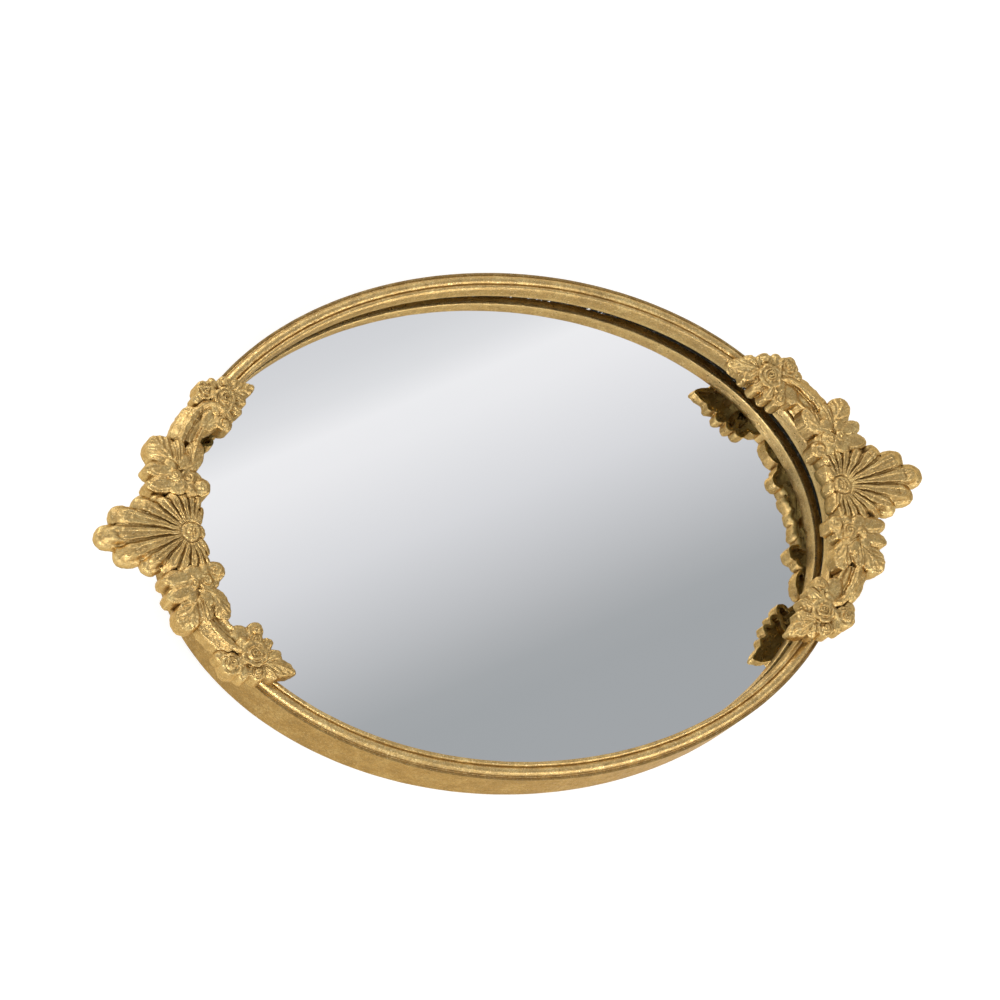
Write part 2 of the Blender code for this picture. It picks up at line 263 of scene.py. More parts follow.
def plain_metal(name, dark, light, roughness):
    """Bare metal, a little uneven in colour and polish."""
    nodes = Nodes(name)
    colour = nodes.ramp(nodes.noise(240.0, 4.0), (0.3, dark), (0.7, light))
    worn = nodes.ramp(nodes.noise(700.0), (0.3, roughness - 0.08), (0.7, roughness + 0.1))
    return nodes.finish(colour, worn, 1.0, nodes.bump(nodes.noise(1800.0), 0.25, 0.0001))


# All one gilding: the band's darker tint is painted shade and the rim's lighter tint painted light
RIM_GOLD = aged_gold("rim_gold", crevice_reach=0.0007, mottle=0.5, worn=0.4, dirt_and_shade_share=0.42,
                     tint=(1.20, 1.24, 1.34), beating=0.45, polish=0.0, below=0.0)
BAND_GOLD = aged_gold("band_gold", crevice_reach=0.0005, mottle=0.55, worn=0.3, dirt_and_shade_share=0.35,
                      tint=(0.75, 0.725, 0.72), beating=0.6, polish=0.0, below=0.4)
CAST_GOLD = aged_gold("cast_gold", crevice_reach=0.0026, mottle=0.45, worn=0.6, dirt_and_shade_share=0.75,
                      tint=(1.04, 1.05, 1.08), beating=0.65, polish=0.02, below=0.85)
MIRROR = mirror_silver("mirror_silver")
ADHESIVE = adhesive("adhesive")
BOARD = fibreboard("fibreboard_back")
FELT = felt("black_felt_base")
RUBBER = rubber("rubber_pads")
BRASS = plain_metal("brass", (0.50, 0.35, 0.12), (0.72, 0.53, 0.22), 0.35)
ZINC = plain_metal("zinc", (0.42, 0.43, 0.45), (0.60, 0.61, 0.63), 0.42)


# ---- building pieces ----


def new_piece(name, points, faces, look, replaced, smooth_angle=None):
    """A mesh object from points in mm, riding on the tray and standing for the CAD nodes it replaces.

    Edges sharper than smooth_angle (degrees) stay sharp.
    """
    mesh = bpy.data.meshes.new(name)
    mesh.from_pydata((np.asarray(points, float) * MM).tolist(), [], faces)
    mesh.materials.append(look)
    mesh.shade_smooth()
    if smooth_angle:
        mesh.set_sharp_from_angle(angle=math.radians(smooth_angle))
    piece = bpy.data.objects.new(name, mesh)
    bpy.context.scene.collection.objects.link(piece)
    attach(piece, "root")
    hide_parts(*replaced)


def arc(middle, radius, start, end, count):
    """Points round part of a circle, angles in degrees from the inset axis."""
    angles = np.radians(np.linspace(start, end, count))
    return [(middle[0] + radius * math.cos(angle), middle[1] + radius * math.sin(angle)) for angle in angles]


# ---- the rim and the adhesive under it (mm) ----

RIM_STATIONS = 480
BEAD_RADIUS = 2.3
SMALL_BEAD_RADIUS = 1.25
LIP_RADIUS = 0.5
LEG_THICKNESS = 1.6
CEILING = BAND_TOP - 3.2  # the top of the moulding's hollow back
OUTER_FACE = 0.06  # how far inside the frame's oval the band's outer face lies


def swept_ring(name, section, look, replaced, waver):
    """Sweeps a closed (inset, height) section round the oval, with a slight hand-made unevenness."""
    angles = np.linspace(0, 2 * math.pi, RIM_STATIONS, endpoint=False)
    points = []
    for angle in angles:
        across = Vector((math.cos(angle) / SEMI_LONG, math.sin(angle) / SEMI_SHORT)).normalized()
        edge = Vector((SEMI_LONG * math.cos(angle), SEMI_SHORT * math.sin(angle)))
        for inset, height in section:
            spot = Vector((edge.x - across.x * inset, edge.y - across.y * inset, height))
            lift = waver * (noise.noise(spot * 0.11) + 0.6 * noise.noise(spot * 0.35))
            inward = inset + lift if inset > 0.5 else max(0.02, OUTER_FACE + lift)
            x = edge.x - across.x * inward
            y = edge.y - across.y * inward
            points.append((x, y, height - abs(lift) * 0.5))
    count = len(section)
    faces = []
    for i in range(RIM_STATIONS):
        here = i * count
        there = (i + 1) % RIM_STATIONS * count
        for j in range(count):
            k = (j + 1) % count
            faces.append((here + j, here + k, there + k, there + j))
    new_piece(name, points, faces, look, replaced, smooth_angle=40)


def build_band():
    """The upright wall, with a rounded top edge."""
    edge = BAND_THICKNESS / 2
    section = [(0, BAND_BASE + 0.4), (0.4, BAND_BASE), (BAND_THICKNESS, BAND_BASE)]
    section += [(BAND_THICKNESS, z) for z in np.linspace(BAND_BASE + 6, BAND_TOP - 6, 3)]
    section += arc((edge, BAND_TOP - edge), edge, 0, 180, 9)
    section += [(0, z) for z in np.linspace(BAND_TOP - 4, BAND_BASE + 3, 6)]
    swept_ring("band_skin", section[::-1], BAND_GOLD, ["rim_band"], 0.05)


def build_moulding():
    """The big bead, groove, small bead and inner lip, hollow from below and joined to the band's top."""
    bead_middle = (MOULDING_OUTER + BEAD_RADIUS, BEAD_TOP - BEAD_RADIUS)
    small_middle = (MOULDING_INNER - SMALL_BEAD_RADIUS, BEAD_TOP - 0.4 - SMALL_BEAD_RADIUS)
    outer_leg = MOULDING_OUTER + LEG_THICKNESS
    lip_leg = MOULDING_INNER - LEG_THICKNESS
    joint_base = BAND_TOP - 3
    section = [(MOULDING_OUTER, MOULDING_BASE), (MOULDING_OUTER, joint_base), (BAND_THICKNESS, joint_base)]
    section += [(BAND_THICKNESS - 0.3, BAND_TOP - 0.45), (MOULDING_OUTER - 0.1, BAND_TOP - 0.3)]
    section += arc(bead_middle, BEAD_RADIUS, 168, 18, 15)
    section += arc(small_middle, SMALL_BEAD_RADIUS, 150, 0, 9)
    lip_side = np.linspace(small_middle[1] - 1.5, LIP_BOTTOM + LIP_RADIUS, 6)
    section += [(MOULDING_INNER, z) for z in lip_side]
    section += arc((MOULDING_INNER - LIP_RADIUS, LIP_BOTTOM + LIP_RADIUS), LIP_RADIUS, 0, -90, 4)
    section += [(lip_leg, LIP_BOTTOM), (lip_leg, CEILING), (outer_leg, CEILING), (outer_leg, MOULDING_BASE)]
    swept_ring("moulding_skin", section, RIM_GOLD, ["rim_moulding"], 0.07)


def build_adhesive():
    """The uneven black bead along the edge of the mirror, under the lip."""
    outer = 3.9
    base = MIRROR_TOP + 0.05
    section = [(outer, base), (6.9, base), (7.0, base + 0.35), (6.4, base + 0.9)]
    section += [(5.4, base + 1.5), (outer, base + 2.0)]
    swept_ring("adhesive_bead", section, ADHESIVE, ["mirror_sealant"], 0.55)


# ---- castings (mm) ----

LOBE_AROUND = 60  # points round a lobe's outline
LOBE_RINGS = 13
RIBBON_ALONG = 70  # sections along a ribbon
RIBBON_ACROSS = 17  # points over its top
ROLL_ANGLES = np.radians((30, 60, 90))  # where an edge that rounds over has its points
WALL = 1.9
VOXEL = 0.32
CELL = 0.9  # the grid of the blocks that hollow a casting
HOLLOW_TOP = 35.4
SHARE_KEPT = 0.4  # of the remeshed triangles


def rings_to_body(rings):
    """Points and faces of the closed body that skins these rings, with a fan at each end."""
    rings = np.asarray(rings)
    count, around = rings.shape[:2]
    points = np.vstack([rings.reshape(-1, 3), rings[0].mean(0), rings[-1].mean(0)])
    faces = []
    for i in range(count - 1):
        for j in range(around):
            k = (j + 1) % around
            faces.append((i * around + j, (i + 1) * around + j, (i + 1) * around + k, i * around + k))
    first, last = count * around, count * around + 1
    for j in range(around):
        k = (j + 1) % around
        faces.append((first, j, k))
        faces.append((last, (count - 1) * around + k, (count - 1) * around + j))
    return points, faces


def outward_of(outline):
    """Unit normals of a closed plan outline that runs anticlockwise."""
    along = np.roll(outline, -1, axis=0) - np.roll(outline, 1, axis=0)
    normal = np.stack([along[:, 1], -along[:, 0]], axis=1)
    return normal / np.maximum(np.linalg.norm(normal, axis=1), 1e-9)[:, None]


def rolled_skirt(edge, roll, floor):
    """Rings that round over from an edge ring and drop to the floor level."""
    outward = outward_of(edge[:, :2]) * np.reshape(roll, (-1, 1))
    rings = []
    for angle in ROLL_ANGLES:
        ring = edge.copy()
        ring[:, :2] += outward * math.sin(angle)
        ring[:, 2] -= roll * (1 - math.cos(angle))
        rings.append(ring)
    for share in (0.5, 1.0):
        ring = rings[2].copy()
        ring[:, 2] = rings[2][:, 2] * (1 - share) + floor * share
        rings.append(ring)
    return rings


def lobe(spot, heading, length, width, top, dome=1.3, tilt=0.0, side=0.0, point=0.0, roll=1.5, relief=None):
    """A petal, leaf or bud: a rounded top that turns down over its edge. heading is in degrees.

    dome is how far the top falls to its edge, tilt and side are its rise per mm along and across, point
    sharpens the far end and roll is the radius of the edge. Gives the body and its plan outline.
    """
    around = np.linspace(0, 2 * math.pi, LOBE_AROUND, endpoint=False)
    u = np.cos(around)
    v = np.sin(around) * (1 - point * np.clip(u, 0, 1) ** 2)
    half_length = max(0.6, length / 2 - roll)
    half_width = max(0.6, width / 2 - roll)
    turn = math.radians(heading)
    rings = []
    for share in np.linspace(0.07, 1, LOBE_RINGS):
        along = share * u * half_length
        across = share * v * half_width
        z = top + tilt * along + side * across - dome * share**2 * (u**2 + v**2)
        if relief:
            z = z + relief(share * u, share * v)
        x = spot[0] + along * math.cos(turn) - across * math.sin(turn)
        y = spot[1] + along * math.sin(turn) + across * math.cos(turn)
        rings.append(np.stack([x, y, z], axis=1))
    rings += rolled_skirt(rings[-1], roll, CASTING_BASE)
    return rings_to_body(rings), rings[-1][:, :2]


def smooth_route(route):
    """Evenly shared points on one smooth curve through a short plan route."""
    knots = np.linspace(0, 1, len(route))
    shares = np.linspace(0, 1, RIBBON_ALONG)
    fits = [np.polyfit(knots, values, min(5, len(route) - 1)) for values in zip(*route)]
    return shares, np.stack([np.polyval(fit, shares) for fit in fits], axis=1)


def ribbon(route, half_width, top, roll, relief=None):
    """A band that follows a plan route. half_width and top are functions of the share along it.

    Gives the body and its plan outline.
    """
    shares, line = smooth_route(route)
    along = np.gradient(line, axis=0)
    along /= np.linalg.norm(along, axis=1)[:, None]
    across = np.stack([-along[:, 1], along[:, 0]], axis=1)
    v = np.linspace(-1, 1, RIBBON_ACROSS)
    rings = []
    for share, middle, aside in zip(shares, line, across):
        rounding = math.sqrt(max(0.0, 1 - abs(2 * share - 1) ** 8))
        half = max(0.5, half_width(share) * rounding - roll)
        crest = top(share) + (relief(share, v) if relief else -0.8 * v**2)
        upper = np.column_stack([middle + np.outer(v * half, aside), crest * np.ones_like(v)])
        sides = []
        for end, sign in ((0, -1), (-1, 1)):
            turned = []
            for angle in ROLL_ANGLES:
                edge = upper[end, :2] + sign * aside * roll * math.sin(angle)
                turned.append([*edge, upper[end, 2] - roll * (1 - math.cos(angle))])
            turned.append([*turned[-1][:2], CASTING_BASE])
            sides.append(turned)
        rings.append(np.vstack([sides[0][::-1], upper, sides[1]]))
    rings = np.asarray(rings)
    return rings_to_body(rings), np.vstack([rings[:, 0, :2], rings[::-1, -1, :2]])


def joined(bodies):
    """The points and faces of several bodies as one list each."""
    points = []
    faces = []
    base = 0
    for body_points, body_faces in bodies:
        points.append(body_points)
        faces += [tuple(base + i for i in face) for face in body_faces]
        base += len(body_points)
    return np.vstack(points), faces


def fused(bodies):
    """A scratch object in mm that fuses these overlapping bodies into one skin."""
    points, faces = joined(bodies)
    mesh = bpy.data.meshes.new("scratch")
    mesh.from_pydata(points.tolist(), [], faces)
    shape = bmesh.new()
    shape.from_mesh(mesh)
    bmesh.ops.recalc_face_normals(shape, faces=shape.faces)
    shape.to_mesh(mesh)
    shape.free()
    made = bpy.data.objects.new("scratch", mesh)
    bpy.context.scene.collection.objects.link(made)
    remesh = made.modifiers.new("fuse", "REMESH")
    remesh.mode = "VOXEL"
    remesh.voxel_size = VOXEL
    return made


def inside(spots, outline):
    """Which of these plan spots lie inside a closed outline."""
    x, y = spots.T
    within = np.zeros(len(spots), bool)
    for (x0, y0), (x1, y1) in zip(outline, np.roll(outline, -1, axis=0)):
        if y0 != y1:
            within ^= ((y0 > y) != (y1 > y)) & (x < x0 + (y - y0) * (x1 - x0) / (y1 - y0))
    return within


def hollow_under(outlines):
    """Small overlapping blocks that fill the plan of the outlines, a wall's thickness in from their edge."""
    everything = np.vstack(outlines)
    low, high = everything.min(axis=0), everything.max(axis=0)
    grid = np.meshgrid(np.arange(low[0], high[0], CELL), np.arange(low[1], high[1], CELL))
    spots = np.stack([axis.ravel() for axis in grid], axis=1)
    for angle in np.linspace(0, 2 * math.pi, 16, endpoint=False):
        reached = spots + WALL * np.array([math.cos(angle), math.sin(angle)])
        spots = spots[np.any([inside(reached, outline) for outline in outlines], axis=0)]
    half = 0.6 * CELL
    blocks = []
    for x, y in spots:
        corners = [(x - half, y - half), (x + half, y - half), (x + half, y + half), (x - half, y + half)]
        rings = [[(*corner, z) for corner in corners] for z in (HOLLOW_TOP, CASTING_BASE - 2)]
        blocks.append(rings_to_body(rings))
    return blocks


def ripple(points, depth):
    """Raises and lowers the points by up to depth, as in a surface that was finished by hand."""
    points[:, 2] += [depth * noise.noise(Vector(point) * 0.4) for point in points]


def cast(parts):
    """Fuses overlapping parts into one casting, hollows it from below and softens it."""
    made = [maker(*given, **named) for maker, given, named in parts]
    outer = fused([body for body, outline in made])
    inner = fused(hollow_under([outline for body, outline in made]))
    cut = outer.modifiers.new("hollow", "BOOLEAN")
    cut.operation = "DIFFERENCE"
    cut.solver = "MANIFOLD"
    cut.object = inner
    soften = outer.modifiers.new("soften", "SMOOTH")
    soften.factor = 0.5
    soften.iterations = 1
    thin = outer.modifiers.new("thin", "DECIMATE")
    thin.ratio = SHARE_KEPT
    bpy.context.view_layer.update()
    result = bpy.data.meshes.new_from_object(outer.evaluated_get(bpy.context.evaluated_depsgraph_get()))
    points = np.empty(len(result.vertices) * 3)
    result.vertices.foreach_get("co", points)
    faces = [tuple(polygon.vertices) for polygon in result.polygons]
    for used in (outer, inner):
        bpy.data.objects.remove(used)
    points = points.reshape(-1, 3)
    ripple(points, 0.16)
    return points, faces


def part(maker, *given, **named):
    """A part of a casting, for cast to make: a lobe or a ribbon and what it is given."""
    return maker, given, named


# ---- reliefs, as functions of the place u along and v across a lobe, each from -1 to 1 ----


def hump(place, middle, width):
    """1 at the middle, falling smoothly to 0 within about twice the width on both sides."""
    return np.exp(-(((place - middle) / width) ** 2))


def veins(depth, pairs):
    """A midrib with side veins that sweep forwards from it."""

    def relief(u, v):
        side = np.cos(math.pi * pairs * (u - 1.1 * np.abs(v)))
        midrib = hump(v, 0, 0.13)
        return depth * (0.45 * side * np.clip(np.abs(v) * 2.5, 0, 1) * (1 - midrib) + 0.9 * midrib - 0.5)

    return relief


def cupped(depth):
    """A hollowed middle inside a raised rim."""

    def relief(u, v):
        out = np.sqrt(u**2 + v**2)
        hollow = np.clip(1 - (out / 0.75) ** 2, 0, 1)
        return -depth * hollow + 0.25 * depth * hump(out, 0.85, 0.15)

    return relief


def swirl(depth, turns, hand=1):
    """The rolled heart of a rose: a spiral ridge round a small pit."""

    def relief(u, v):
        out = np.sqrt(u**2 + v**2)
        ridge = np.cos(2 * math.pi * turns * out - hand * np.arctan2(v, u))
        return depth * (ridge * np.clip(out * 3, 0.2, 1) - 1.6 * hump(out, 0, 0.13))

    return relief


def fluted(depth, folds):
    """Folds that run along a petal."""
    return lambda u, v: depth * np.cos(2 * math.pi * folds * v) * np.clip(1.2 - 0.5 * (1 + u), 0, 1)


# ---- the shell (mm and degrees) ----

SHELL_AROUND = 512
HUB_RADIUS = 4.3
HUB_RINGS = 10
FAN_RINGS = 56
# The shell's lobes from its tip round to behind the hub: where each ends (degrees), its reach and the
# depth of the notch after it (mm)
SHELL_LOBES = (
    (7.6, 46.9, 36.4),
    (24.4, 39.8, 29.2),
    (42.2, 31.0, 23.6),
    (60.2, 25.0, 19.9),
    (77.0, 21.4, 17.8),
    (92.0, 19.4, 17.2),
    (105.0, 19.0, 17.2),
    (118.0, 18.4, 17.2),
    (141.0, 18.0, 17.2),
    (180.0, 18.0, 17.2),
)
INNER_SIDE = 5.0  # from the hub to the straight inner side, at the bottom of its folds
INNER_SIDE_FROM = 95  # the angle past which that side cuts the lobes off
FOLD_DEPTH = 2.3
FOLD_WIDTH = 7.2
LONG_LOBES = 3  # counted from the tip, how many lobes end in a curl
BROAD_LOBES = 4  # how many round well over at their ends
FRONT_LOBES = 7  # how many make up the fan; the rest lie behind the hub


def shell_lobes(turns):
    """For each angle: its lobe's number, the place across that lobe from -1 to 1, half the angle that the
    lobe takes up (radians) and the radius of the edge.
    """
    numbers = []
    across = []
    halves = []
    edges = []
    for angle in np.abs(np.degrees(turns)):
        number = next(i for i, lobe in enumerate(SHELL_LOBES) if angle <= lobe[0] + 1e-6)
        end, reach, notch = SHELL_LOBES[number]
        start = -end if number == 0 else SHELL_LOBES[number - 1][0]
        before = notch if number == 0 else SHELL_LOBES[number - 1][2]
        place = (2 * angle - start - end) / (end - start)
        base = before + (notch - before) * (place + 1) / 2
        numbers.append(number)
        across.append(place)
        halves.append(math.radians(end - start) / 2)
        edge = base + (reach - base) * max(0.0, 1 - abs(place) ** 2.4) ** 0.55
        if angle > INNER_SIDE_FROM:
            level = INNER_SIDE * math.tan(math.radians(180 - angle))
            side = INNER_SIDE + FOLD_DEPTH * abs(math.cos(math.pi * level / FOLD_WIDTH))
            edge = min(edge, side / math.cos(math.radians(180 - angle)))
        edges.append(edge)
    return np.array(numbers), np.array(across), np.array(halves), np.array(edges)


def shell_relief(radius, numbers, across, halves, edges):
    """Height from the shell's highest level: ridged lobes that turn down and curl at their ends."""
    share = radius / edges
    rise = -3.4 + 3.4 * np.sin(np.clip(radius / 36, 0, 1) * math.pi / 2)
    away = np.clip((radius - HUB_RADIUS) / 7, 0, 1)  # 0 at the hub, 1 from 7 mm beyond it
    to_side = (1 - np.abs(across)) * halves * radius
    valley = -0.85 * away * hump(to_side, 0, 0.6)
    turned = np.clip((share - 0.82) / 0.18, 0, 1)
    drop = np.where(numbers < BROAD_LOBES, 3.0, 1.4) * turned**2
    pair = -0.34 * away * np.cos(2 * math.pi * across) * (1 - turned) * (numbers < FRONT_LOBES)
    rolled_end = 0.5 * hump(share, 0.89, 0.05) - 0.5 * hump(share, 0.81, 0.02)
    curl = (0.8 * (numbers < LONG_LOBES) + 1.0 * (numbers == 0)) * rolled_end
    reeds = 0.12 * away * np.cos(6 * math.pi * across) * (1 - turned)
    return rise + valley - drop + pair + reeds + curl * (1 - across**2) - 0.3 * away * across**2


def hub_relief(radius, turns):
    """The boss: a ring round a dimpled button."""
    ring = 0.6 * (1 + 0.3 * np.cos(8 * turns)) * hump(radius, 3.5, 0.7)
    button = 1.1 * math.sqrt(max(0.0, 1 - (radius / 2.5) ** 2))
    dimples = 0.4 * np.cos(5 * turns) * hump(radius, 1.6, 0.6)
    return -2.9 + ring + button + dimples - 0.7 * hump(radius, 0, 0.6)


def neighbours(values, reach):
    """The closed row of values, shifted by each step up to reach both ways."""
    return [np.roll(values, step) for step in range(-reach, reach + 1)]


def blurred(values, reach):
    """Each value's average with its neighbours."""
    return sum(neighbours(values, reach)) / (2 * reach + 1)


def lowest_near(values, reach):
    """The lowest of each value and its neighbours."""
    return np.min(neighbours(values, reach), axis=0)


def build_shell(hub, lean):
    """A shell round the plan point hub, turned by lean degrees.

    Its rings run from the boss out over the lobes, round their edge and back in under them.
    """
    turns = np.linspace(-math.pi, math.pi, SHELL_AROUND, endpoint=False)
    numbers, across, halves, full = shell_lobes(turns)
    roll = blurred(np.where(numbers < FRONT_LOBES, 2.0, 1.1), 8)
    edges = np.maximum(blurred(full - roll, 2), HUB_RADIUS + 0.3)
    top = SHELL_TOP - 0.8
    aside = turns + math.radians(lean)

    def ring_at(radius, z):
        return np.stack([hub[0] + radius * np.cos(aside), hub[1] + radius * np.sin(aside), z], axis=1)

    rings = []
    for radius in np.linspace(0.3, HUB_RADIUS, HUB_RINGS):
        rings.append(ring_at(radius, top + hub_relief(radius, turns)))
    for share in np.linspace(0, 1, FAN_RINGS)[1:]:
        radius = HUB_RADIUS + 0.2 + (edges - HUB_RADIUS - 0.2) * share
        trench = 0.8 * hump(radius - HUB_RADIUS, 0.5, 0.6)
        rings.append(ring_at(radius, top + shell_relief(radius, numbers, across, halves, edges) - trench))
    for ring in rings:
        ripple(ring, 0.12)
    fan_edge = rings[-1]
    fan = np.clip(np.cos(turns) / 0.5, 0, 1)
    floors = CASTING_BASE + (SHELL_TOP - 9 - CASTING_BASE) * fan
    rings += rolled_skirt(fan_edge, roll, floors)
    inner = blurred(lowest_near(full, 14), 10) - 2.0
    ceiling = lowest_near(np.minimum(fan_edge[:, 2] - 2.4, SHELL_TOP - 5.4), 14)
    rings.append(ring_at(inner, floors))
    rings.append(ring_at(inner - 0.1, (floors + ceiling) / 2))
    for share in (0.97, 0.7, 0.4, 0.1):
        rings.append(ring_at(inner * share, ceiling.min() * (1 - share) + ceiling * share))
    return rings_to_body(rings)


# ---- the spray of flower, leaves, scroll and roses beside the shell (mm and degrees) ----

PETALS = 5


def rose(spot, size, top, hand, heading):
    """Parts of a rose: overlapping cupped petals round a heart rolled one way (hand 1) or the other (-1)."""
    parts = []
    for i in range(PETALS):
        angle = heading + 360 / PETALS * i
        turn = math.radians(angle)
        middle = (spot[0] + 0.27 * size * math.cos(turn), spot[1] + 0.27 * size * math.sin(turn))
        parts.append(part(lobe, middle, angle + 90, 0.62 * size, 0.50 * size, top - 1.0 - 0.3 * (i % 2),
                          dome=0.5, side=-0.16, roll=0.9, relief=cupped(0.8)))
    parts.append(part(lobe, spot, heading, 0.62 * size, 0.58 * size, top, dome=0.8, roll=0.9,
                      relief=swirl(0.75, 2.2, hand)))
    return parts


def web(route, half, top):
    """The ground that joins the petals of one casting."""
    return part(ribbon, route, lambda share: half, lambda share: top, 1.2)


def flower_parts():
    """Two long petals that point outwards, and small curled ones over the rim."""
    return [
        part(lobe, (184.4, 25.2), 4, 16.0, 8.8, 43.3, dome=1.3, tilt=-0.03, roll=1.5, relief=cupped(0.7)),
        part(lobe, (184.0, 32.6), 17, 14.6, 8.6, 42.8, dome=1.3, tilt=-0.03, roll=1.5, relief=cupped(0.7)),
        part(lobe, (176.6, 23.4), -30, 10.0, 7.4, 43.5, dome=1.0, roll=1.2, relief=cupped(0.7)),
        part(lobe, (165.4, 23.0), 190, 10.2, 9.4, 42.3, dome=1.3, roll=1.4, relief=swirl(0.4, 1.3)),
        part(lobe, (171.4, 27.6), 140, 9.0, 7.8, 43.3, dome=1.0, roll=1.2, relief=swirl(0.5, 1.6)),
        part(lobe, (170.6, 33.0), 160, 10.5, 6.6, 42.4, dome=1.1, roll=1.2, relief=fluted(0.4, 1.5)),
        part(lobe, (177.8, 29.0), 60, 6.6, 5.6, 43.9, dome=0.8, roll=1.0, relief=swirl(0.45, 1.4)),
        part(lobe, (171.0, 21.6), 250, 7.6, 6.4, 42.7, dome=1.0, roll=1.1),
        part(lobe, (178.6, 34.4), 75, 8.0, 6.2, 42.6, dome=1.0, roll=1.1, relief=cupped(0.5)),
        web(((166.0, 24.0), (172.0, 27.0), (180.0, 28.6), (186.0, 29.0)), 6.2, 40.4),
    ]


def leaf_parts():
    """A broad outer leaf, a narrower one over the rim and two small leaves between them."""
    return [
        part(lobe, (180.8, 42.4), 54, 17.0, 13.6, 42.1, dome=1.2, tilt=-0.05, roll=1.4, relief=veins(0.7, 3)),
        part(lobe, (166.0, 38.8), 114, 16.8, 10.4, 41.6, dome=1.3, tilt=-0.06, roll=1.4,
             relief=veins(0.65, 3)),
        part(lobe, (173.6, 40.4), 100, 13.5, 7.4, 42.4, dome=1.0, roll=1.2, relief=fluted(0.6, 1.5)),
        part(lobe, (171.8, 35.6), 120, 8.5, 6.6, 42.8, dome=1.0, roll=1.1, relief=cupped(0.4)),
        web(((164.5, 38.0), (170.0, 38.6), (177.0, 40.0), (183.0, 41.6)), 5.4, 39.6),
    ]


def outer_slope(share, v):
    """Falls away from the ridge to the outer edge, with a beaded groove beside the ridge."""
    groove = -1.3 * hump(v, 0.35, 0.2) * (0.65 + 0.35 * math.cos(2 * math.pi * 12 * share))
    return -1.5 * np.clip(0.5 - v, 0, 2) + groove


def scroll_parts():
    """A C-shaped ridge with a sloping outer side and a hollowed inner one, and a curled bud at its end."""
    ridge = [(173.0, 41.5), (170.6, 47.2), (166.4, 53.2), (161.0, 58.4)]
    ridge += [(154.6, 61.2), (149.4, 59.2), (148.4, 54.0)]
    slope = ((174.2, 43.4), (171.0, 49.6), (166.8, 55.0), (161.6, 60.0))
    inner = ((168.2, 42.6), (165.0, 48.4), (160.6, 53.2), (154.6, 56.8))
    return [
        part(ribbon, slope, lambda share: 4.0, lambda share: 40.6, 1.1, relief=outer_slope),
        part(ribbon, ridge, lambda share: 2.1 - 0.2 * share, lambda share: 41.4 - 0.5 * share, 1.0),
        part(ribbon, inner, lambda share: 4.6, lambda share: 38.9, 1.0,
             relief=lambda share, v: -0.8 * (1 - v**2) + 0.4 * np.cos(2 * math.pi * v)),
        part(lobe, (149.2, 50.8), 230, 8.8, 7.8, 40.9, dome=1.2, roll=1.3, relief=swirl(0.4, 1.3)),
        part(lobe, (155.6, 53.6), 128, 14.0, 9.6, 39.8, dome=0.8, roll=1.1, relief=cupped(0.7)),
    ]


def cluster_parts():
    """Three roses with the leaves and petals round them, ending in a pointed leaf."""
    parts = rose((146.6, 62.4), 13.0, 42.3, 1, 20)
    parts += rose((158.2, 66.6), 11.0, 41.7, -1, 50)
    parts += rose((146.4, 71.2), 8.8, 40.6, 1, 10)
    parts += [
        part(lobe, (134.4, 69.6), 160, 16.4, 8.8, 39.2, tilt=-0.14, dome=0.9, point=0.8,
             relief=veins(0.7, 2)),
        part(lobe, (138.4, 64.4), 200, 12.0, 7.0, 39.9, tilt=-0.10, dome=0.9, point=0.4,
             relief=fluted(0.5, 1.5)),
        part(lobe, (140.8, 58.8), 215, 11.0, 6.8, 40.2, tilt=-0.08, dome=1.0, relief=fluted(0.5, 1.5)),
        part(lobe, (145.6, 55.0), 230, 12.0, 7.2, 40.6, tilt=-0.06, dome=1.0, relief=fluted(0.5, 1.5)),
        part(lobe, (152.0, 57.4), 250, 9.0, 6.6, 41.0, dome=1.0, relief=cupped(0.5)),
        part(lobe, (139.8, 71.6), 130, 9.0, 6.0, 39.4, tilt=-0.08, dome=0.9, point=0.4,
             relief=fluted(0.4, 1.5)),
        part(lobe, (153.2, 70.4), 80, 8.4, 6.6, 40.2, dome=1.0, relief=cupped(0.5)),
        part(lobe, (161.8, 62.4), 330, 8.0, 6.4, 40.2, dome=1.0, relief=cupped(0.5)),
        part(lobe, (152.8, 64.4), 60, 7.0, 6.4, 41.2, dome=0.8, relief=fluted(0.4, 1.5)),
        web(((134.0, 69.0), (142.0, 65.6), (151.0, 64.4), (160.0, 65.4)), 6.6, 38.6),
    ]
    return parts


# ---- where the castings sit ----

# How far each hand-fitted piece sits from the symmetrical layout: outwards, and away from the shell (mm)
SHIFTS = {
    ("right", "back"): {
        "flower": (0.0, -1.0),
        "leaf_spray": (0.0, -1.2),
        "scroll": (0.0, -0.6),
        "rose_cluster": (0.0, 0.0),
    },
    ("right", "front"): {
        "flower": (0.0, -5.4),
        "leaf_spray": (0.0, -5.4),
        "scroll": (0.6, -2.8),
        "rose_cluster": (0.6, -1.0),
    },
    ("left", "back"): {
        "flower": (-1.0, 0.2),
        "leaf_spray": (-1.0, 0.2),
        "scroll": (-2.4, 3.4),
        "rose_cluster": (-2.0, 1.5),
    },
    ("left", "front"): {
        "flower": (-0.5, -4.6),
        "leaf_spray": (-0.5, -4.8),
        "scroll": (0.8, -3.0),
        "rose_cluster": (6.0, -3.2),
    },
}
# Each shell's hub in plan (mm), and how far the shell is turned (degrees)
SHELLS = {"right": ((HUB_X - 1.2, 2.4), 3.6), "left": ((HUB_X - 1.3, 1.5), 1.2)}
CLUSTER_TIP = (128.5, 72.5)


